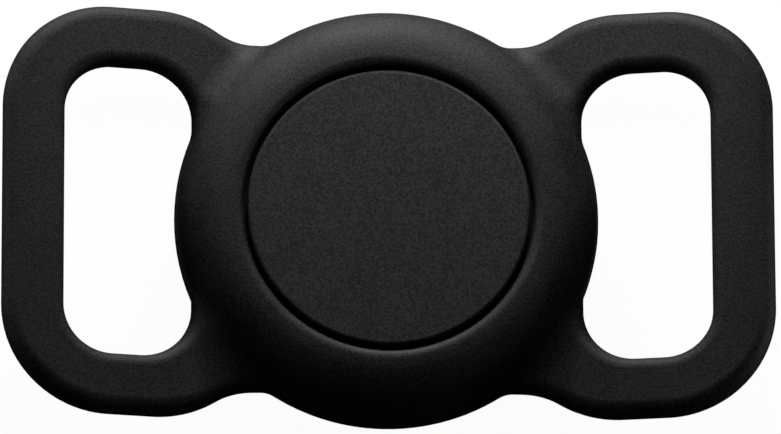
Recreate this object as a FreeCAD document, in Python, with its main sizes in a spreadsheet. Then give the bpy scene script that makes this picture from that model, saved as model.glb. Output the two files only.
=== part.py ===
import FreeCAD, Part
import math
import os
import re
import Sketcher

# A strap-mounted holder for a round tracker tag, lying on its back.
# +Z leaves the tag's face and +X runs along the strap.
# The origin is on the tag's axis, in the plane of the holder's flat back.

doc = FreeCAD.newDocument("tag_holder")
sizes = doc.addObject("Spreadsheet::Sheet", "Sizes")

# Driving dimensions in millimetres, angles in degrees.
# Names that end in share are parts of the size they follow.
DIMENSIONS = {
    # silicone ring round the tag
    "ring_wall": "7",
    "lip_rise": "0.2",
    "back_edge_radius": "3.2",
    "band_height": "0.5",
    "crest_flat": "0.2",
    "lip_radius": "0.9",
    "mouth_gap": "0.4",
    "mouth_depth": "2",
    "pocket_clearance": "0.1",
    "back_thickness": "1.4",
    "push_hole_radius": "7",
    "push_hole_edge_radius": "0.6",
    # strap loops
    "strap_slot_height": "29",
    "strap_slot_gap": "10.8",
    "rail_width": "5.87",
    "bar_width": "6.05",
    "loop_thickness": "3.4",
    "loop_base_height": "3.9",
    "loop_rise": "5.1",
    "loop_bend_radius": "15",
    "loop_corner_radius": "10.5",
    "slot_corner_radius": "4.7",
    "slot_undercut": "1.65",
    "valley_least_drop": "0.5",
    "loop_edge_radius": "1.5",
    "slot_edge_radius": "1.2",
    "loop_blend_radius": "3.2",
    "edge_radius_share": "0.45",
    "shoulder_share": "0.942",
    "valley_x_share": "0.72",
    "valley_y_share": "0.84",
    "shoulder_run_share": "0.599",
    "valley_run_share": "0.359",
    "bend_share": "0.673",
    "root_outer_x_share": "0.385",
    "root_outer_y_share": "0.832",
    "root_inner_y_share": "0.413",
    "root_radius_share": "0.784",
    # tag housing
    "face_thickness": "1",
    "face_edge_radius": "0.35",
    "foot_edge_radius": "0.3",
    "shell_wall": "1.35",
    "frame_clearance": "0.05",
    "frame_wall": "0.65",
    "deck_thickness": "0.5",
    "deck_hole_radius": "5.5",
    "bay_clearance": "0.25",
    "post_radius": "0.6",
    "post_offset": "0.6",
    "post_clearance": "0.05",
    "post_head_radius": "1",
    "post_head_height": "0.35",
    # twist-off battery cover
    "cover_thickness": "0.8",
    "cover_recess": "0.1",
    "cover_clearance": "0.1",
    "skirt_height": "0.8",
    "skirt_wall": "0.7",
    "lug_reach": "0.7",
    "lug_thickness": "0.55",
    "lug_gap": "0.15",
    "lug_clearance": "0.1",
    "lug_angle": "28",
    "lug_play_angle": "3",
    "cover_turn_angle": "40",
    "coin_slot_length": "10",
    "coin_slot_width": "1.6",
    "coin_slot_depth": "0.4",
    "seal_height": "0.5",
    "seal_inset": "0.05",
    "pad_radius": "6",
    "pad_thickness": "0.3",
    # coin cell and its contacts
    "cell_diameter": "20",
    "cell_height": "3.2",
    "can_rim_width": "0.7",
    "can_rim_depth": "0.6",
    "can_rim_drop": "0.25",
    "can_edge_radius": "0.3",
    "gasket_width": "0.6",
    "gasket_drop": "0.15",
    "cap_bevel": "0.35",
    "contact_room": "0.15",
    "contact_strip": "0.2",
    "contact_touch": "0.05",
    "contact_width": "2.4",
    "contact_play": "0.3",
    "contact_tab": "1.35",
    "contact_foot_height": "0.25",
    "contact_flare": "0.2",
    "finger_tail": "4.6",
    "finger_bend": "2",
    "finger_touch": "1.6",
    "finger_tip": "3.2",
    "finger_curl": "0.15",
    # circuit board and what it carries
    "board_edge_gap": "0.45",
    "board_thickness": "0.6",
    "radio_chip_side": "4",
    "sensor_side": "2",
    "memory_length": "3",
    "memory_width": "2",
    "chip_height": "0.6",
    "crystal_length": "2",
    "crystal_width": "1.6",
    "crystal_height": "0.5",
    "antenna_length": "6",
    "antenna_width": "2",
    "antenna_height": "0.9",
    "capacitor_length": "1",
    "capacitor_width": "0.5",
    "capacitor_height": "0.35",
    "capacitor_inset": "2.2",
    "capacitor_step_angle": "14",
    "chip_x_share": "0.7",
    "chip_y_share": "0.5",
    "memory_share": "0.75",
    # sounder under the face
    "sounder_room": "0.75",
    "buzzer_plate_radius": "7.5",
    "buzzer_plate_thickness": "0.2",
    "buzzer_ceramic_radius": "5.5",
    "buzzer_ceramic_thickness": "0.2",
    "spring_strip": "0.15",
    "spring_width": "0.8",
    "spring_reach": "1.2",
    "spring_place_share": "0.8",
    # how far every cutting shape runs past what it cuts
    "overrun": "1",
}
for row, (alias, value) in enumerate(DIMENSIONS.items(), start=1):
    sizes.set(f"A{row}", alias)
    sizes.set(f"B{row}", value)
    sizes.setAlias(f"B{row}", alias)
doc.recompute()

BAYONET_COUNT = 3
POST_ANGLES = (30, 150, 270)
CAPACITOR_COUNT = 9
CAPACITOR_FIRST_ANGLE = 214
LOCKED_ANGLE = 90
EDGE_SHARES = (0.25, 0.5, 0.75)
TOUCHING = 1e-4
LEVEL = 1e-6

# Heights and radii that several pieces share, written in the driving dimensions
CELL_RADIUS = "(cell_diameter / 2)"
SKIRT_BORE = f"({CELL_RADIUS} + bay_clearance)"
COVER_RADIUS = f"({SKIRT_BORE} + skirt_wall)"
COVER_BORE = f"({COVER_RADIUS} + cover_clearance)"
LUG_RADIUS = f"({COVER_RADIUS} + lug_reach)"
CHANNEL_RADIUS = f"({LUG_RADIUS} + lug_clearance)"
FRAME_RADIUS = f"({CHANNEL_RADIUS} + frame_wall)"
SHELL_BORE = f"({FRAME_RADIUS} + frame_clearance)"
TAG_RADIUS = f"({SHELL_BORE} + shell_wall)"
MOUTH_RADIUS = f"({TAG_RADIUS} + mouth_gap)"
RING_RADIUS = f"({TAG_RADIUS} + ring_wall)"
POST_CIRCLE = f"({CELL_RADIUS} + post_offset)"
CAPACITOR_CIRCLE = f"({POST_CIRCLE} - capacitor_inset)"
COVER_BASE = "(back_thickness + cover_recess)"
COVER_TOP = f"({COVER_BASE} + cover_thickness)"
SKIRT_TOP = f"({COVER_TOP} + skirt_height)"
LUG_BASE = f"({COVER_TOP} + lug_gap)"
LUG_TOP = f"({LUG_BASE} + lug_thickness)"
SEAT = f"({SKIRT_TOP} + seal_height)"
CELL_BASE = f"({COVER_TOP} + pad_thickness)"
CELL_TOP = f"({CELL_BASE} + cell_height)"
DECK_BASE = f"({CELL_TOP} + contact_room)"
BOARD_BASE = f"({DECK_BASE} + deck_thickness)"
BOARD_TOP = f"({BOARD_BASE} + board_thickness)"
CERAMIC_BASE = f"({BOARD_TOP} + sounder_room)"
PLATE_BASE = f"({CERAMIC_BASE} + buzzer_ceramic_thickness)"
FACE_INSIDE = f"({PLATE_BASE} + buzzer_plate_thickness)"
TAG_TOP = f"({FACE_INSIDE} + face_thickness)"
CREST = f"({TAG_TOP} + lip_rise)"
MOUTH_FLOOR = f"({TAG_TOP} - mouth_depth)"
DOME_RADIUS = (
    f"min({RING_RADIUS} - {MOUTH_RADIUS} - lip_radius - crest_flat;"
    f" {CREST} - back_edge_radius - band_height)"
)
LOOP_HALF = "(strap_slot_height / 2 + rail_width)"
LOOP_END = f"({RING_RADIUS} + strap_slot_gap + bar_width)"
SLOT_HALF = "(strap_slot_height / 2)"
SLOT_END = f"({RING_RADIUS} + strap_slot_gap)"
SLOT_ROOT = f"({RING_RADIUS} - slot_undercut)"
ROOT_EXIT = f"sqrt({RING_RADIUS} ^ 2 - {SLOT_ROOT} ^ 2)"
ROOT_RADIUS = f"(({SLOT_HALF} - {ROOT_EXIT}) * root_radius_share)"
VALLEY_X = f"({RING_RADIUS} * valley_x_share)"
VALLEY_Y = f"min({RING_RADIUS} * valley_y_share; {LOOP_HALF} - valley_least_drop)"
VALLEY_DROP = f"({LOOP_HALF} - {VALLEY_Y})"
SHOULDER_X = f"({RING_RADIUS} * shoulder_share)"
SLOPE_LENGTH = f"sqrt(({SHOULDER_X} - {VALLEY_X}) ^ 2 + {VALLEY_DROP} ^ 2)"
SLOPE_TURN = f"tan(atan({VALLEY_DROP} / ({SHOULDER_X} - {VALLEY_X})) / 2)"
SHOULDER_RADIUS = f"({SLOPE_LENGTH} * shoulder_run_share / {SLOPE_TURN})"
VALLEY_RADIUS = f"({SLOPE_LENGTH} * valley_run_share / {SLOPE_TURN})"
ROOT_OUTER_X = f"({RING_RADIUS} * root_outer_x_share)"
ROOT_OUTER_Y = f"min({VALLEY_Y}; {RING_RADIUS} * root_outer_y_share)"

pieces = []


def linked(text):
    """The expression with each dimension's name given its sheet."""
    return re.sub(r"[a-z_]+", lambda m: f"Sizes.{m[0]}" if m[0] in DIMENSIONS else m[0], text)


def size(text):
    """The value of an expression in the driving dimensions."""
    return float(sizes.evalExpression(text))


def bind(thing, **expressions):
    """Tie properties to the sheet; place_x, place_y, place_z and turn tie the placement."""
    paths = {
        "place_x": "Placement.Base.x",
        "place_y": "Placement.Base.y",
        "place_z": "Placement.Base.z",
        "turn": "Placement.Rotation.Angle",
    }
    for key, text in expressions.items():
        thing.setExpression(paths.get(key, key), linked(text))
    return thing


def piece(label, thing):
    """Register a finished sub-part under the name of its file."""
    thing.Label = label
    pieces.append(thing)
    return thing


def outline(body, name, plane, loops):
    """A sketch on an origin plane, made of closed polygons of (x, y, corner radius or None)."""
    sketch = body.newObject("Sketcher::SketchObject", name)
    support = next(f for f in body.Origin.OriginFeatures if f.Role == plane)
    sketch.AttachmentSupport = (support, [""])
    sketch.MapMode = "FlatFace"
    for corners in loops:
        polygon(sketch, corners)
    return sketch


def polygon(sketch, corners):
    """One closed polygon, its corners held by dimensions and rounded by tangent arcs."""
    flat = FreeCAD.Vector(0, 0, 1)
    tips = [FreeCAD.Vector(size(x), size(y), 0) for x, y, radius in corners]
    starts = []
    ends = []
    arcs = []
    for index, (x, y, radius) in enumerate(corners):
        tip = tips[index]
        back = (tips[index - 1] - tip).normalize()
        ahead = (tips[(index + 1) % len(tips)] - tip).normalize()
        if radius is None:
            starts.append(tip)
            ends.append(tip)
            arcs.append(None)
            continue
        half = back.getAngle(ahead) / 2
        run = size(radius) / math.tan(half)
        start = tip + back * run
        end = tip + ahead * run
        middle = tip + (back + ahead).normalize() * (size(radius) / math.sin(half))
        left = back.cross(ahead).z < 0
        first, last = (start, end) if left else (end, start)
        angles = [math.atan2(p.y - middle.y, p.x - middle.x) for p in (first, last)]
        if angles[1] < angles[0]:
            angles[1] += 2 * math.pi
        arc = Part.ArcOfCircle(Part.Circle(middle, flat, size(radius)), *angles)
        starts.append(start)
        ends.append(end)
        arcs.append((sketch.addGeometry(arc), left))
    lines = []
    for index in range(len(corners)):
        segment = Part.LineSegment(ends[index], starts[(index + 1) % len(corners)])
        lines.append(sketch.addGeometry(segment))
    for index, (x, y, radius) in enumerate(corners):
        before = lines[index - 1]
        after = lines[index]
        if radius is None:
            sketch.addConstraint(Sketcher.Constraint("Coincident", before, 2, after, 1))
            held = (after, 1)
        else:
            arc, left = arcs[index]
            entry, leave = (1, 2) if left else (2, 1)
            sketch.addConstraint(Sketcher.Constraint("Tangent", before, 2, arc, entry))
            sketch.addConstraint(Sketcher.Constraint("Tangent", arc, leave, after, 1))
            dimension(sketch, Sketcher.Constraint("Radius", arc, size(radius)), radius)
            tip = sketch.addGeometry(Part.Point(tips[index]), True)
            sketch.addConstraint(Sketcher.Constraint("PointOnObject", tip, 1, before))
            sketch.addConstraint(Sketcher.Constraint("PointOnObject", tip, 1, after))
            held = (tip, 1)
        for kind, text, axis in (("DistanceX", x, -2), ("DistanceY", y, -1)):
            if text == "0":
                sketch.addConstraint(Sketcher.Constraint("PointOnObject", *held, axis))
            else:
                dimension(sketch, Sketcher.Constraint(kind, -1, 1, *held, size(text)), text)


def dimension(sketch, constraint, text):
    """A sketch dimension that follows the sheet."""
    index = sketch.addConstraint(constraint)
    sketch.setExpression(f"Constraints[{index}]", linked(text))


def new_body(name):
    """An empty body."""
    return doc.addObject("PartDesign::Body", name)


def revolved(name, corners):
    """A body turned from a profile of (radius, height) corners."""
    body = new_body(name)
    sketch = outline(body, f"{name}_profile", "XZ_Plane", [corners])
    turn = body.newObject("PartDesign::Revolution", f"{name}_turn")
    turn.Profile = sketch
    turn.ReferenceAxis = (sketch, ["V_Axis"])
    turn.Angle = 360
    body.Tip = turn
    return body


def strip(name, corners, width):
    """A bent strip: a profile in the XZ plane given its width evenly to both sides."""
    body = new_body(name)
    sketch = outline(body, f"{name}_profile", "XZ_Plane", [corners])
    pad = body.newObject("PartDesign::Pad", f"{name}_pad")
    pad.Profile = sketch
    pad.Midplane = True
    bind(pad, Length=width)
    body.Tip = pad
    return body


def drum(name, radius, base, height, **more):
    """A cylinder, or a sector of one, on the tag's axis unless it is placed elsewhere."""
    return bind(
        doc.addObject("Part::Cylinder", name), Radius=radius, Height=height, place_z=base, **more
    )


def block(name, length, width, height, x, y, base):
    """A box whose middle is at x, y."""
    return bind(
        doc.addObject("Part::Box", name),
        Length=length,
        Width=width,
        Height=height,
        place_x=f"{x} - {length} / 2",
        place_y=f"{y} - {width} / 2",
        place_z=base,
    )


def fuse(name, things):
    """Join solids into one."""
    joined = doc.addObject("Part::MultiFuse", name)
    joined.Shapes = things
    joined.Refine = True
    return joined


def cut(name, base, tool):
    """Take the tool's volume out of the base."""
    taken = doc.addObject("Part::Cut", name)
    taken.Base = base
    taken.Tool = tool
    return taken


def at_angle(radius, angle):
    """Expressions for the place at that radius and angle about the axis."""
    return f"{radius} * cos({angle} * 1 deg)", f"{radius} * sin({angle} * 1 deg)"


def faces_of(shape, edge):
    """The faces that share an edge."""
    return [f for f in shape.Faces if any(edge.isSame(e) for e in f.Edges)]


def upright(face):
    """Whether a face stands parallel to Z."""
    u0, u1, v0, v1 = face.ParameterRange
    return abs(face.normalAt((u0 + u1) / 2, (v0 + v1) / 2).z) < LEVEL


def loop_edges(shape, slot_side):
    """The names of the edges along a loop's slot, or of those along its outside, clear of the ring."""
    reach = size(f"{RING_RADIUS} * (1 + root_outer_y_share) / 2")
    names = []
    for index, edge in enumerate(shape.Edges, start=1):
        walls = [f for f in faces_of(shape, edge) if upright(f)]
        if len(walls) != 1:
            continue
        middle = walls[0].CenterOfMass
        in_slot = middle.x < size(SLOT_END) + TOUCHING and abs(middle.y) < size(SLOT_HALF) + TOUCHING
        if in_slot == slot_side and math.hypot(middle.x, middle.y) > reach:
            names.append(f"Edge{index}")
    return names


def strap_loop():
    """The right-hand loop: a bent slab cut to a U in plan, its edges rounded, its ends inside the ring."""
    body = new_body("strap_loop")
    low = "loop_base_height - loop_thickness / 2"
    high = "loop_base_height + loop_thickness / 2"
    bend = f"{RING_RADIUS} * bend_share"
    level = f"{LOOP_END} - bar_width / 2"
    inner = f"{ROOT_OUTER_X} - overrun"
    outer = f"{LOOP_END} + overrun"
    section = outline(body, "loop_section", "XZ_Plane", [[
        (inner, low, None),
        (bend, low, "loop_bend_radius"),
        (level, f"{low} + loop_rise", "loop_bend_radius"),
        (outer, f"{low} + loop_rise", None),
        (outer, f"{high} + loop_rise", None),
        (level, f"{high} + loop_rise", "loop_bend_radius"),
        (bend, high, "loop_bend_radius"),
        (inner, high, None),
    ]])
    slab = body.newObject("PartDesign::Pad", "loop_slab")
    slab.Profile = section
    slab.Midplane = True
    bind(slab, Length=f"2 * ({LOOP_HALF} + overrun)")
    upper = [
        (ROOT_OUTER_X, ROOT_OUTER_Y, None),
        (VALLEY_X, VALLEY_Y, VALLEY_RADIUS),
        (SHOULDER_X, LOOP_HALF, SHOULDER_RADIUS),
        (LOOP_END, LOOP_HALF, "loop_corner_radius"),
    ]
    inside = [
        (SLOT_END, SLOT_HALF, "slot_corner_radius"),
        (SLOT_ROOT, SLOT_HALF, ROOT_RADIUS),
        (SLOT_ROOT, f"{SLOT_HALF} * root_inner_y_share", None),
    ]
    lower = [(x, f"-({y})", radius) for x, y, radius in reversed(upper)]
    inside_low = [(x, f"-({y})", radius) for x, y, radius in reversed(inside)]
    far = f"({LOOP_HALF} + 2 * overrun)"
    near = f"{inner} - overrun"
    frame = [
        (near, f"-{far}", None),
        (f"{outer} + overrun", f"-{far}", None),
        (f"{outer} + overrun", far, None),
        (near, far, None),
    ]
    plan = outline(body, "loop_plan", "XY_Plane", [frame, upper + lower + inside_low + inside])
    trim = body.newObject("PartDesign::Pocket", "loop_trim")
    trim.Profile = plan
    trim.Type = "ThroughAll"
    trim.Midplane = True
    body.Tip = trim
    for name, slot_side, radius in (
        ("loop_rounding", False, "loop_edge_radius"),
        ("slot_rounding", True, "slot_edge_radius"),
    ):
        doc.recompute()
        base = body.Tip
        rounding = body.newObject("PartDesign::Fillet", name)
        rounding.Base = (base, loop_edges(base.Shape, slot_side))
        bind(rounding, Radius=f"min({radius}; loop_thickness * edge_radius_share)")
        body.Tip = rounding
    return body


def holder_body():
    """One silicone moulding: a domed ring with lip and pocket, and a loop blended into each side."""
    pocket = f"{TAG_RADIUS} + pocket_clearance"
    ring = revolved("ring", [
        ("push_hole_radius", "0", "push_hole_edge_radius"),
        (RING_RADIUS, "0", "back_edge_radius"),
        (RING_RADIUS, CREST, DOME_RADIUS),
        (MOUTH_RADIUS, CREST, "lip_radius"),
        (MOUTH_RADIUS, MOUTH_FLOOR, None),
        (pocket, MOUTH_FLOOR, None),
        (pocket, "back_thickness", None),
        ("push_hole_radius", "back_thickness", None),
    ])
    loop = strap_loop()
    mirrored = doc.addObject("Part::Mirroring", "strap_loop_mirrored")
    mirrored.Source = loop
    mirrored.Normal = FreeCAD.Vector(1, 0, 0)
    moulding = fuse("moulding", [ring, loop, mirrored])
    doc.recompute()
    skins = [ring.Shape.Shells[0], Part.Compound([loop.Shape.Shells[0], mirrored.Shape.Shells[0]])]
    blends = []
    radius = size("loop_blend_radius")
    for index, edge in enumerate(moulding.Shape.Edges, start=1):
        first, last = edge.ParameterRange
        spots = [Part.Vertex(edge.valueAt(first + (last - first) * share)) for share in EDGE_SHARES]
        if all(skin.distToShape(spot)[0] < TOUCHING for skin in skins for spot in spots):
            blends.append((index, radius, radius))
    blended = doc.addObject("Part::Fillet", "blended_moulding")
    blended.Base = moulding
    blended.Edges = blends
    return piece("holder_body", blended)


def tag_shell():
    """The tag's front half: a flat-faced cup whose face shows in the mouth of the ring."""
    return piece("tag_shell", revolved("shell", [
        (SHELL_BORE, "back_thickness", None),
        (TAG_RADIUS, "back_thickness", "foot_edge_radius"),
        (TAG_RADIUS, TAG_TOP, "face_edge_radius"),
        ("0", TAG_TOP, None),
        ("0", FACE_INSIDE, None),
        (SHELL_BORE, FACE_INSIDE, None),
    ]))


def bayonet_angle(index):
    """Where the locked lug of that number stands, in degrees."""
    return LOCKED_ANGLE + index * 360 / BAYONET_COUNT


def tag_frame():
    """The inner frame: cell bay, seat for the seal, three L-shaped bayonet slots, three staking posts."""
    turned = revolved("frame_turned", [
        (COVER_BORE, "back_thickness", None),
        (FRAME_RADIUS, "back_thickness", None),
        (FRAME_RADIUS, BOARD_BASE, None),
        ("deck_hole_radius", BOARD_BASE, None),
        ("deck_hole_radius", DECK_BASE, None),
        (SKIRT_BORE, DECK_BASE, None),
        (SKIRT_BORE, SEAT, None),
        (COVER_BORE, SEAT, None),
    ])
    slots = []
    width = "(lug_angle + 2 * lug_play_angle)"
    mouth = "back_thickness - overrun"
    for index in range(BAYONET_COUNT):
        first = f"{bayonet_angle(index)} - cover_turn_angle - {width} / 2"
        slots.append(drum(
            f"lock_{index}",
            CHANNEL_RADIUS,
            f"{LUG_BASE} - lug_clearance",
            "lug_thickness + 2 * lug_clearance",
            Angle=f"{width} + cover_turn_angle",
            turn=first,
        ))
        slots.append(drum(
            f"entry_{index}",
            CHANNEL_RADIUS,
            mouth,
            f"{LUG_TOP} + lug_clearance - ({mouth})",
            Angle=width,
            turn=first,
        ))
    recess = block(
        "contact_recess",
        f"({CELL_RADIUS} + contact_touch + contact_strip + contact_tab + contact_play)",
        "(contact_width + 2 * contact_play)",
        f"({BOARD_BASE} - {SEAT} + overrun)",
        f"({CELL_RADIUS} + contact_touch + contact_strip + contact_tab + contact_play) / 2",
        "0",
        SEAT,
    )
    keep = drum("recess_core", "deck_hole_radius", SEAT, f"{BOARD_BASE} - {SEAT} + overrun")
    opened = cut("frame_opened", turned, fuse("frame_cuts", [*slots, cut("recess_cut", recess, keep)]))
    posts = []
    for number, angle in enumerate(POST_ANGLES):
        x, y = at_angle(POST_CIRCLE, angle)
        for name, radius, base, height in (
            ("post", "post_radius", BOARD_BASE, "board_thickness"),
            ("head", "post_head_radius", BOARD_TOP, "post_head_height"),
        ):
            posts.append(drum(f"{name}_{number}", radius, base, height, place_x=x, place_y=y))
    return piece("tag_frame", fuse("frame", [opened, *posts]))


def battery_cover():
    """The rear cover: a plate with a skirt, three lugs on the skirt and a coin slot outside."""
    drums = [drum("cover_drum", COVER_RADIUS, COVER_BASE, f"{SKIRT_TOP} - {COVER_BASE}")]
    for index in range(BAYONET_COUNT):
        drums.append(drum(
            f"lug_{index}",
            LUG_RADIUS,
            LUG_BASE,
            "lug_thickness",
            Angle="lug_angle",
            turn=f"{bayonet_angle(index)} - lug_angle / 2",
        ))
    hollow = drum("cover_hollow", SKIRT_BORE, COVER_TOP, "skirt_height + overrun")
    slot = block(
        "coin_slot",
        "coin_slot_length",
        "coin_slot_width",
        "(coin_slot_depth + overrun)",
        "0",
        "0",
        f"{COVER_BASE} - overrun",
    )
    plate = fuse("cover_plate", drums)
    return piece("battery_cover", cut("cover", plate, fuse("cover_cuts", [hollow, slot])))


def cover_details():
    """The seal between the skirt and its seat, and the foam pad that presses on the cell."""
    ring = f"{COVER_RADIUS} - seal_inset"
    bore = f"{SKIRT_BORE} + seal_inset"
    piece("cover_seal", revolved("seal", [
        (bore, SKIRT_TOP, None),
        (ring, SKIRT_TOP, None),
        (ring, SEAT, None),
        (bore, SEAT, None),
    ]))
    piece("cover_pad", drum("pad", "pad_radius", COVER_TOP, "pad_thickness"))


def coin_cell():
    """The cell: a can with a turned-in rim, the gasket inside the rim and the cap, its pole up."""
    lip = f"({CELL_RADIUS} - can_rim_width)"
    shelf = f"({CELL_TOP} - can_rim_depth)"
    cap = f"({lip} - gasket_width)"
    piece("cell_can", revolved("can", [
        ("0", CELL_BASE, None),
        (CELL_RADIUS, CELL_BASE, "can_edge_radius"),
        (CELL_RADIUS, f"{CELL_TOP} - can_rim_drop", "can_edge_radius"),
        (lip, f"{CELL_TOP} - can_rim_drop", None),
        (lip, shelf, None),
        ("0", shelf, None),
    ]))
    piece("cell_gasket", revolved("gasket", [
        (cap, shelf, None),
        (lip, shelf, None),
        (lip, f"{CELL_TOP} - gasket_drop", None),
        (cap, f"{CELL_TOP} - gasket_drop", None),
    ]))
    piece("cell_cap", revolved("cap", [
        ("0", shelf, None),
        (cap, shelf, None),
        (cap, f"{CELL_TOP} - cap_bevel", None),
        (f"{cap} - cap_bevel", CELL_TOP, None),
        ("0", CELL_TOP, None),
    ]))


def contacts():
    """Two sprung strips soldered under the board: one presses on the can's side, one on the cap."""
    near = f"({CELL_RADIUS} + contact_touch)"
    under = f"({BOARD_BASE} - contact_strip)"
    foot = f"({SEAT} + contact_foot_height)"
    knee = f"({foot} + 2 * contact_flare)"
    piece("positive_contact", strip("side_strip", [
        (f"{near} + contact_flare", foot, None),
        (f"{near} + contact_flare + contact_strip", foot, None),
        (f"{near} + contact_strip", knee, None),
        (f"{near} + contact_strip", under, None),
        (f"{near} + contact_strip + contact_tab", under, None),
        (f"{near} + contact_strip + contact_tab", BOARD_BASE, None),
        (near, BOARD_BASE, None),
        (near, knee, None),
    ], "contact_width"))
    piece("negative_contact", strip("finger_strip", [
        ("-finger_tail", under, None),
        ("-finger_bend", under, None),
        ("finger_touch", CELL_TOP, None),
        ("finger_tip", f"{CELL_TOP} + finger_curl", None),
        ("finger_tip", f"{CELL_TOP} + finger_curl + contact_strip", None),
        ("finger_touch", f"{CELL_TOP} + contact_strip", None),
        ("-finger_bend", BOARD_BASE, None),
        ("-finger_tail", BOARD_BASE, None),
    ], "contact_width"))


def circuit_board():
    """The round board, held on the frame's posts."""
    blank = drum("board_blank", f"{SHELL_BORE} - board_edge_gap", BOARD_BASE, "board_thickness")
    holes = []
    for number, angle in enumerate(POST_ANGLES):
        x, y = at_angle(POST_CIRCLE, angle)
        holes.append(drum(
            f"board_hole_{number}",
            "post_radius + post_clearance",
            f"{BOARD_BASE} - overrun",
            "board_thickness + 2 * overrun",
            place_x=x,
            place_y=y,
        ))
    piece("circuit_board", cut("board", blank, fuse("board_holes", holes)))


def board_parts():
    """What is soldered on the board's upper side, placed from the radio chip outwards."""
    step = "(radio_chip_side + sensor_side)"
    aside = f"{step} * chip_x_share"
    along = f"{step} * chip_y_share"
    edge = f"({SHELL_BORE} - 2 * board_edge_gap - antenna_width)"
    for label, length, width, height, x, y in (
        ("radio_chip", "radio_chip_side", "radio_chip_side", "chip_height", "0", "0"),
        ("motion_sensor", "sensor_side", "sensor_side", "chip_height", aside, f"-{along}"),
        ("memory_chip", "memory_length", "memory_width", "chip_height", "0", f"{step} * memory_share"),
        ("crystal", "crystal_length", "crystal_width", "crystal_height", f"-{aside}", along),
        ("chip_antenna", "antenna_length", "antenna_width", "antenna_height", "0", edge),
    ):
        piece(label, block(f"{label}_block", length, width, height, x, y, BOARD_TOP))
    group = []
    for number in range(CAPACITOR_COUNT):
        turn = f"({CAPACITOR_FIRST_ANGLE} + {number} * capacitor_step_angle)"
        x, y = at_angle(CAPACITOR_CIRCLE, turn)
        group.append(block(
            f"capacitor_{number}",
            "capacitor_width",
            "capacitor_length",
            "capacitor_height",
            x,
            y,
            BOARD_TOP,
        ))
    together = doc.addObject("Part::Compound", "capacitors")
    together.Links = group
    piece("board_capacitors", together)


def sounder():
    """The buzzer glued inside the face, a brass plate with a ceramic disc, and its two springs."""
    for label, base in (("buzzer_plate", PLATE_BASE), ("buzzer_ceramic", CERAMIC_BASE)):
        piece(label, drum(f"{label}_disc", f"{label}_radius", base, f"{label}_thickness"))
    springs = []
    for name, middle, top in (
        ("plate_spring", "(buzzer_plate_radius + buzzer_ceramic_radius) / 2", PLATE_BASE),
        ("ceramic_spring", "-buzzer_ceramic_radius * spring_place_share", CERAMIC_BASE),
    ):
        left = f"({middle} - spring_reach / 2)"
        right = f"({middle} + spring_reach / 2)"
        springs.append(strip(name, [
            (left, BOARD_TOP, None),
            (right, BOARD_TOP, None),
            (right, f"{BOARD_TOP} + spring_strip", None),
            (f"{left} + spring_strip", f"{BOARD_TOP} + spring_strip", None),
            (f"{left} + spring_strip", f"{top} - spring_strip", None),
            (right, f"{top} - spring_strip", None),
            (right, top, None),
            (left, top, None),
        ], "spring_width"))
    together = doc.addObject("Part::Compound", "springs")
    together.Links = springs
    piece("buzzer_springs", together)


holder_body()
tag_shell()
tag_frame()
battery_cover()
cover_details()
coin_cell()
contacts()
circuit_board()
board_parts()
sounder()
doc.recompute()

for thing in doc.Objects:
    if "Invalid" in thing.State or "Error" in thing.State:
        raise RuntimeError(f"{thing.Label} did not build: {thing.State}")
for thing in pieces:
    if thing.Shape.isNull() or not thing.Shape.isValid():
        raise RuntimeError(f"{thing.Label} has no valid shape")

os.makedirs("parts", exist_ok=True)
for thing in pieces:
    thing.Shape.exportStep(f"parts/{thing.Label}.step")
    print(thing.Label, len(thing.Shape.Solids), round(thing.Shape.Volume, 2))
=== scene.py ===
import math

import bpy
from mathutils import Matrix, Vector

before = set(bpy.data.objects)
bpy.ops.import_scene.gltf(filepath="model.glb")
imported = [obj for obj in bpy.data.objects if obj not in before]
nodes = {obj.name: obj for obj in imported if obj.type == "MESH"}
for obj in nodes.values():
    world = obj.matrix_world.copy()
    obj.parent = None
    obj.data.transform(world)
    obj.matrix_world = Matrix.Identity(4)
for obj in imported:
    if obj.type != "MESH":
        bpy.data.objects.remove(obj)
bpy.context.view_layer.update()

# The holder: one moulding of soft black silicone, a domed ring with a strap loop on each side.
# It comes out of a blasted tool, so the whole skin has an even, matt, very fine grain.


def feed(tree, socket, value):
    """Link a socket into an input, or set the input to a plain value."""
    if isinstance(value, bpy.types.NodeSocket):
        tree.links.new(value, socket)
    else:
        socket.default_value = value


def shader(tree, kind, **values):
    """A new node of that kind: a lower-case name is a setting of it, any other name one of its inputs."""
    made = tree.nodes.new("ShaderNode" + kind)
    for name, value in values.items():
        if name[0].islower():
            setattr(made, name, value)
        else:
            feed(tree, made.inputs[name.replace("_", " ")], value)
    return made


def sums(tree, operation, *values):
    """The result of a Math node; each value is a socket or a number."""
    made = shader(tree, "Math", operation=operation)
    for socket, value in zip(made.inputs, values):
        feed(tree, socket, value)
    return made.outputs["Value"]


def effect(name, inputs, outputs):
    """An empty node group with a place and those values as its inputs, and those values as outputs."""
    tree = bpy.data.node_groups.new(name, "ShaderNodeTree")
    tree.interface.new_socket("Place", in_out="INPUT", socket_type="NodeSocketVector")
    for label in inputs:
        tree.interface.new_socket(label, in_out="INPUT", socket_type="NodeSocketFloat")
    for label in outputs:
        tree.interface.new_socket(label, in_out="OUTPUT", socket_type="NodeSocketFloat")
    return tree, tree.nodes.new("NodeGroupInput").outputs, tree.nodes.new("NodeGroupOutput").inputs


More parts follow.
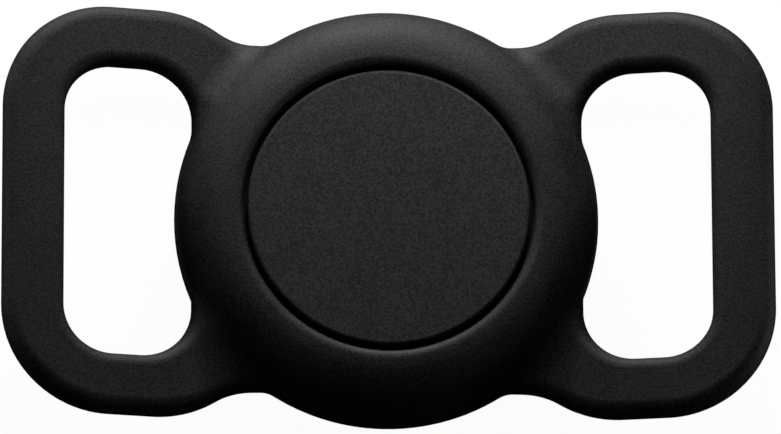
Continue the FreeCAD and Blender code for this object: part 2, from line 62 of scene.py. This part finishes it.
def moulded_grain():
    """Two noises of the place: a fine one for the grain's height and a broad one for its mottling."""
    tree, given, result = effect(
        "moulded_grain", ["Grain per metre", "Mottle per metre"], ["Height", "Mottle"])
    place = given["Place"]
    fine = shader(
        tree, "TexNoise", Vector=place, Scale=given["Grain per metre"], Detail=2.0, Roughness=0.6)
    broad = shader(tree, "TexNoise", Vector=place, Scale=given["Mottle per metre"], Detail=3.0)
    feed(tree, result["Height"], fine.outputs["Fac"])
    feed(tree, result["Mottle"], broad.outputs["Fac"])
    return tree


def plain_finish(name, **constants):
    """A new material with its Principled shader, the constants set on the shader's own sockets."""
    made = bpy.data.materials.new(name)
    made.use_nodes = True
    tree = made.node_tree
    body = tree.nodes["Principled BSDF"].inputs
    for label, value in constants.items():
        feed(tree, body[label.replace("_", " ")], value)
    return made, tree, body, shader(tree, "TexCoord").outputs["Object"]


def colour_between(tree, share, dark, light):
    """A colour between two, by a value from 0 to 1; each end is a socket or three numbers."""
    mix = shader(tree, "Mix", data_type="RGBA", Factor=share)
    ends = [socket for socket in mix.inputs if socket.type == "RGBA"]
    for socket, colour in zip(ends, (dark, light)):
        feed(tree, socket, (*colour, 1.0) if isinstance(colour, tuple) else colour)
    return next(socket for socket in mix.outputs if socket.type == "RGBA")


def spread(tree, value, low, high, reach=0.2):
    """A noise's middle range, which reaches so far from its mean, drawn out to run from low to high."""
    mean = 0.5
    made = shader(
        tree, "MapRange", Value=value, From_Min=mean - reach, From_Max=mean + reach,
        To_Min=low, To_Max=high)
    return made.outputs["Result"]


def relief(tree, body, height, depth, strength=1.0, **settings):
    """Bump the surface by a height without a unit, times a depth in metres."""
    bump = shader(tree, "Bump", Height=height, Distance=depth, Strength=strength, **settings)
    feed(tree, body["Normal"], bump.outputs["Normal"])


def grained(name, dark, light, rough, depth, grain, mottle, **constants):
    """A moulded finish: the normal follows the grain, the roughness the mottling, and the colour both."""
    grain_share = 0.8
    speckle_reach = 0.08
    made, tree, body, place = plain_finish(name, **constants)
    texture = shader(
        tree, "Group", node_tree=GRAIN, Place=place, Grain_per_metre=grain, Mottle_per_metre=mottle)
    height, patches = texture.outputs["Height"], texture.outputs["Mottle"]
    from_grain = sums(tree, "MULTIPLY", height, grain_share)
    from_patches = sums(tree, "MULTIPLY", patches, 1.0 - grain_share)
    tone = sums(tree, "ADD", from_grain, from_patches)
    speckle = spread(tree, tone, 0.0, 1.0, reach=speckle_reach)
    feed(tree, body["Base Color"], colour_between(tree, speckle, dark, light))
    feed(tree, body["Roughness"], spread(tree, patches, *rough))
    relief(tree, body, height, depth)
    return made


def dress(material, *names):
    """Give CAD pieces their finish."""
    for name in names:
        mesh = nodes[name].data
        mesh.materials.clear()
        mesh.materials.append(material)


GRAIN = moulded_grain()
dress(grained(
    "silicone", dark=(0.0004, 0.0004, 0.0004), light=(0.0106, 0.0106, 0.0108), rough=(0.63, 0.71),
    depth=0.000022, grain=4500.0, mottle=260.0, Specular_IOR_Level=0.17,
), "holder_body")

# The tag's shell: a flat-faced cup of black plastic, spark-eroded to a matt grain like the ring's.
# It sits loose in the ring's mouth with a narrow dark gap all round.
dress(grained(
    "shell_plastic", dark=(0.0015, 0.0015, 0.0015), light=(0.0155, 0.0155, 0.0158), rough=(0.74, 0.82),
    depth=0.000018, grain=4500.0, mottle=320.0, Specular_IOR_Level=0.22,
), "tag_shell")

# The tag's inner frame: one moulding of dark grey plastic that carries cell, board and cover.
# Its three posts are melted over the board, and the bayonet slots are cut in from below.
dress(grained(
    "frame_plastic", dark=(0.05, 0.05, 0.054), light=(0.068, 0.068, 0.072), rough=(0.38, 0.52),
    depth=0.000008, grain=3600.0, mottle=420.0, Specular_IOR_Level=0.4,
), "tag_frame")

# The battery cover: a pressed steel cap with three lugs and a coin slot, brushed in circles.
# It turns in the frame's bayonet slots and shows through the push-out hole in the holder's back.


def turned_lines():
    """Fine circular brushing: noise that changes fast with the radius and slowly round the axis."""
    patches_per_metre = 380.0
    tree, given, result = effect("turned_lines", ["Lines per metre"], ["Height", "Streak"])
    split = shader(tree, "SeparateXYZ", Vector=given["Place"]).outputs
    squares = [sums(tree, "MULTIPLY", split[axis], split[axis]) for axis in ("X", "Y")]
    radius = sums(tree, "SQRT", sums(tree, "ADD", *squares))
    around = sums(tree, "ARCTAN2", split["Y"], split["X"])
    line = shader(
        tree, "CombineXYZ", X=sums(tree, "MULTIPLY", radius, given["Lines per metre"]),
        Y=sums(tree, "COSINE", around), Z=sums(tree, "SINE", around))
    noise = shader(tree, "TexNoise", Vector=line.outputs["Vector"], Scale=1.0, Detail=4.0, Roughness=0.65)
    patch = shader(tree, "TexNoise", Vector=given["Place"], Scale=patches_per_metre, Detail=3.0)
    halves = [sums(tree, "MULTIPLY", part.outputs["Fac"], 0.5) for part in (noise, patch)]
    feed(tree, result["Height"], noise.outputs["Fac"])
    feed(tree, result["Streak"], sums(tree, "ADD", *halves))
    return tree


def brushed(name, dark, light, rough, lines):
    """Bare metal brushed in circles: colour, roughness and normal follow the lines."""
    made, tree, body, place = plain_finish(name, Metallic=1.0)
    texture = shader(tree, "Group", node_tree=TURNED, Place=place, Lines_per_metre=lines)
    streak = texture.outputs["Streak"]
    feed(tree, body["Base Color"], colour_between(tree, spread(tree, streak, 0.0, 1.0), dark, light))
    feed(tree, body["Roughness"], spread(tree, streak, *rough))
    relief(tree, body, texture.outputs["Height"], depth=0.000003, strength=0.5)
    return made


TURNED = turned_lines()
dress(brushed(
    "cover_steel", dark=(0.50, 0.50, 0.51), light=(0.60, 0.60, 0.61), rough=(0.26, 0.40), lines=9000.0,
), "battery_cover")

# The cover's seal: a square ring of black rubber, moulded in one piece.
# It is pressed between the cover's skirt and the frame's seat.
dress(grained(
    "seal_rubber", dark=(0.025, 0.025, 0.025), light=(0.036, 0.036, 0.036), rough=(0.62, 0.74),
    depth=0.000006, grain=6000.0, mottle=700.0, Specular_IOR_Level=0.3,
), "cover_seal")

# The cover's pad: a disc of dark closed-cell foam, cut from sheet.
# It is glued inside the cover and presses on the cell, so that the cell doesn't rattle.


def foam(name, middle, wall):
    """Closed-cell foam: rounded cells, darker where their walls meet."""
    made, tree, body, place = plain_finish(name, Specular_IOR_Level=0.15)
    cells = shader(tree, "TexVoronoi", Vector=place, Scale=3200.0).outputs["Distance"]
    feed(tree, body["Base Color"], colour_between(tree, cells, middle, wall))
    rough = shader(tree, "MapRange", Value=cells, To_Min=0.8, To_Max=0.95)
    feed(tree, body["Roughness"], rough.outputs["Result"])
    relief(tree, body, cells, depth=0.00006, strength=0.8, invert=True)
    return made


dress(foam("pad_foam", middle=(0.062, 0.062, 0.067), wall=(0.036, 0.036, 0.04)), "cover_pad")

# The coin cell: a nickel-plated steel can and cap, pressed from sheet, with faint circular marks.
# A grey plastic gasket keeps the cap and the can's rim apart.
dress(brushed(
    "cell_steel", dark=(0.61, 0.60, 0.58), light=(0.71, 0.70, 0.68), rough=(0.20, 0.34), lines=5200.0,
), "cell_can", "cell_cap")
dress(grained(
    "gasket_plastic", dark=(0.31, 0.31, 0.29), light=(0.38, 0.38, 0.36), rough=(0.42, 0.55),
    depth=0.000005, grain=5200.0, mottle=800.0, Specular_IOR_Level=0.45,
), "cell_gasket")

# The contacts: two plated spring strips, soldered under the board, for the cell's can and its cap.
# The sounder's two springs on the board are the same strip.
dress(grained(
    "contact_metal", dark=(0.72, 0.66, 0.54), light=(0.82, 0.77, 0.66), rough=(0.20, 0.36),
    depth=0.000002, grain=9000.0, mottle=900.0, Metallic=1.0,
), "positive_contact", "negative_contact", "buzzer_springs")

# The circuit board: a round glass-fibre laminate under green solder mask, staked on three posts.
# Its copper tracks show as slightly lighter, raised lines.


def board_tracks():
    """Straight tracks both ways: thin lines of a lattice, kept only in the cells a noise picks."""
    half_width = 0.16
    runs_per_step = 0.22
    picked_above = 0.55
    tree, given, result = effect("board_tracks", ["Tracks per metre"], ["Track"])
    scaled = shader(tree, "VectorMath", operation="SCALE", Vector=given["Place"])
    feed(tree, scaled.inputs["Scale"], given["Tracks per metre"])
    split = shader(tree, "SeparateXYZ", Vector=scaled.outputs["Vector"]).outputs
    ways = []
    for across, along in (("X", "Y"), ("Y", "X")):
        from_middle = sums(tree, "SUBTRACT", sums(tree, "FRACT", split[across]), 0.5)
        line = sums(tree, "LESS_THAN", sums(tree, "ABSOLUTE", from_middle), half_width)
        run = sums(tree, "FLOOR", sums(tree, "MULTIPLY", split[along], runs_per_step))
        cell = shader(
            tree, "CombineXYZ", X=sums(tree, "FLOOR", split[across]), Y=run, Z=float(len(ways)))
        pick = shader(tree, "TexWhiteNoise", Vector=cell.outputs["Vector"]).outputs["Value"]
        ways.append(sums(tree, "MULTIPLY", line, sums(tree, "GREATER_THAN", pick, picked_above)))
    feed(tree, result["Track"], sums(tree, "MAXIMUM", *ways))
    return tree


def laminate(name, mask_dark, mask_light, over_track):
    """Solder mask over tracks: lighter and a little raised on the tracks, with a faint grain."""
    grain_height = 0.25
    made, tree, body, place = plain_finish(name, Coat_Weight=0.35, Coat_Roughness=0.12)
    tracks = shader(tree, "Group", node_tree=board_tracks(), Place=place, Tracks_per_metre=1700.0)
    track = tracks.outputs["Track"]
    texture = shader(
        tree, "Group", node_tree=GRAIN, Place=place, Grain_per_metre=6000.0, Mottle_per_metre=500.0)
    patches = texture.outputs["Mottle"]
    mask = colour_between(tree, spread(tree, patches, 0.0, 1.0), mask_dark, mask_light)
    feed(tree, body["Base Color"], colour_between(tree, track, mask, over_track))
    feed(tree, body["Roughness"], spread(tree, patches, 0.26, 0.38))
    raised = sums(tree, "ADD", track, sums(tree, "MULTIPLY", texture.outputs["Height"], grain_height))
    relief(tree, body, raised, depth=0.00002, strength=0.8)
    return made


dress(laminate(
    "board_laminate", mask_dark=(0.008, 0.075, 0.034), mask_light=(0.011, 0.095, 0.044),
    over_track=(0.018, 0.145, 0.066),
), "circuit_board")

# The chips for radio, movement and memory: blocks of black resin, matt from the mould.
# They are soldered to the board.
dress(grained(
    "chip_resin", dark=(0.021, 0.021, 0.024), light=(0.03, 0.03, 0.033), rough=(0.5, 0.64),
    depth=0.000006, grain=9000.0, mottle=1500.0, Specular_IOR_Level=0.4,
), "radio_chip", "motion_sensor", "memory_chip")

# The crystal: a ceramic tub under a plated metal lid, which is rolled and welded on.
# It is soldered to the board and gives the radio chip its clock.
dress(grained(
    "crystal_can", dark=(0.64, 0.63, 0.60), light=(0.74, 0.73, 0.70), rough=(0.16, 0.30),
    depth=0.000002, grain=12000.0, mottle=1600.0, Metallic=1.0,
), "crystal")

# The antenna and the sounder's disc: white fired ceramic, slightly speckled.
# The antenna is soldered to the board, and the disc is bonded to the sounder's brass plate.
dress(grained(
    "antenna_ceramic", dark=(0.74, 0.74, 0.71), light=(0.83, 0.83, 0.80), rough=(0.32, 0.46),
    depth=0.000004, grain=7000.0, mottle=900.0, Specular_IOR_Level=0.5,
), "chip_antenna", "buzzer_ceramic")

# The capacitors: nine small bricks of tan ceramic, layered and fired.
# They are soldered to the board in an arc.
dress(grained(
    "capacitor_ceramic", dark=(0.38, 0.27, 0.175), light=(0.50, 0.37, 0.25), rough=(0.34, 0.5),
    depth=0.000004, grain=9000.0, mottle=1300.0, Specular_IOR_Level=0.45,
), "board_capacitors")

# The sounder's plate: a disc punched from rolled brass, with faint circular marks.
# It is glued inside the tag's face and carries the ceramic disc.
dress(brushed(
    "buzzer_brass", dark=(0.64, 0.47, 0.21), light=(0.76, 0.59, 0.30), rough=(0.24, 0.38), lines=4200.0,
), "buzzer_plate")

# The stage: a pale, flat floor just under the object, far wider than the picture.
# It glows almost white to the camera, and the rest of its white is lit, so that it keeps a faint shadow.
FLOOR_HALF = 2.0
FLOOR_DROP = 0.0002
FLOOR_GREY = (0.3, 0.3, 0.3, 1.0)
SHADOW_DEPTH = 0.04
floor_mesh = bpy.data.meshes.new("floor")
floor_mesh.from_pydata(
    [(-FLOOR_HALF, -FLOOR_HALF, 0), (FLOOR_HALF, -FLOOR_HALF, 0), (FLOOR_HALF, FLOOR_HALF, 0),
     (-FLOOR_HALF, FLOOR_HALF, 0)], [], [(0, 1, 2, 3)])
floor = bpy.data.objects.new("floor", floor_mesh)
floor.location.z = -FLOOR_DROP
bpy.context.scene.collection.objects.link(floor)
floor_white, tree, _, _ = plain_finish(
    "floor_white", Base_Color=FLOOR_GREY, Roughness=0.9, Specular_IOR_Level=0.0)
glow = shader(tree, "Emission", Strength=1.0 - SHADOW_DEPTH)
lit = shader(tree, "BsdfDiffuse", Color=(SHADOW_DEPTH, SHADOW_DEPTH, SHADOW_DEPTH, 1.0))
shown = shader(tree, "AddShader")
feed(tree, shown.inputs[0], glow.outputs["Emission"])
feed(tree, shown.inputs[1], lit.outputs["BSDF"])
rays = shader(tree, "LightPath").outputs
mirrored = sums(tree, "MAXIMUM", rays["Is Glossy Ray"], rays["Is Transmission Ray"])
mix = shader(tree, "MixShader", Fac=sums(tree, "MAXIMUM", rays["Is Camera Ray"], mirrored))
feed(tree, mix.inputs[1], tree.nodes["Principled BSDF"].outputs["BSDF"])
feed(tree, mix.inputs[2], shown.outputs["Shader"])
feed(tree, tree.nodes["Material Output"].inputs["Surface"], mix.outputs["Shader"])
floor_mesh.materials.append(floor_white)

# The two black pieces don't mirror the floor's white glow,
# as in a studio where dark flags stand round them, out of the picture.
flagged = bpy.data.collections.new("flagged")
for name in ("holder_body", "tag_shell"):
    flagged.objects.link(nodes[name])
for entry in flagged.collection_objects:
    entry.light_linking.link_state = "EXCLUDE"
floor.light_linking.receiver_collection = flagged

# The light: soft boxes beyond the object's far side, from low down to high up, out of the picture.
# Two low ones graze the ring from left and right, and a weak white glow comes from all round.
GLOW_ALL_ROUND = 0.06
RING_MIDDLE = (0, 0, 0.007)
RING_CREST = (0, 0, 0.01)
world = bpy.data.worlds.new("studio")
bpy.context.scene.world = world
world.use_nodes = True
background = world.node_tree.nodes["Background"].inputs
background["Color"].default_value = (1, 1, 1, 1)
background["Strength"].default_value = GLOW_ALL_ROUND


def softbox(name, place, aim, width, height, watts):
    """A rectangular lamp at a place, turned to face a point."""
    lamp = bpy.data.lights.new(name, "AREA")
    lamp.shape = "RECTANGLE"
    lamp.size = width
    lamp.size_y = height
    lamp.energy = watts
    thing = bpy.data.objects.new(name, lamp)
    thing.location = place
    thing.visible_camera = False
    thing.rotation_euler = (Vector(aim) - Vector(place)).to_track_quat("-Z", "Y").to_euler()
    bpy.context.scene.collection.objects.link(thing)


softbox("near_box", (0, 0.0433, 0.032), RING_MIDDLE, width=0.05, height=0.02, watts=0.0158)
softbox("strip_box", (0, 0.035, 0.05), (0, 0.0105, 0.007), width=0.11, height=0.012, watts=0.0076)
softbox("far_box", (0, 0.345, 0.068), RING_MIDDLE, width=0.06, height=0.03, watts=1.75)
softbox("left_box", (-0.174, 0.3015, 0.0436), RING_MIDDLE, width=0.06, height=0.03, watts=0.42)
softbox("top_box", (0, 0.2475, 0.2545), RING_MIDDLE, width=0.06, height=0.03, watts=0.28)
softbox("left_low_box", (-0.12, 0.035, 0.016), RING_CREST, width=0.04, height=0.006, watts=0.025)
softbox("right_low_box", (0.12, -0.01, 0.016), RING_CREST, width=0.04, height=0.006, watts=0.038)

# The camera: a long lens on the object's near side, about 14 degrees from straight above.
# Its angles, distance, offset and focal length are fitted to the outline in the photograph.
IMAGE_WIDTH = 781
TILT, PAN, ROLL = (math.radians(angle) for angle in (14.0, 2.8, 0.2225))
FOCAL_PIXELS = 7962
DISTANCE = 0.78
OFFSET = (-0.000395, -0.0002375)
FIT_HEIGHT = 0.004
turn = Matrix.Rotation(-TILT, 3, "X") @ Matrix.Rotation(PAN, 3, "Y") @ Matrix.Rotation(ROLL, 3, "Z")
lens = bpy.data.cameras.new("camera")
lens.sensor_width = 36
lens.lens = lens.sensor_width * FOCAL_PIXELS / IMAGE_WIDTH
lens.clip_start = 0.01
camera = bpy.data.objects.new("camera", lens)
stand = turn.transposed() @ Vector((-OFFSET[0], -OFFSET[1], DISTANCE)) + Vector((0, 0, FIT_HEIGHT))
camera.matrix_world = Matrix.Translation(stand) @ turn.transposed().to_4x4()
bpy.context.scene.collection.objects.link(camera)
bpy.context.scene.camera = camera
bpy.context.scene.view_settings.view_transform = "Standard"
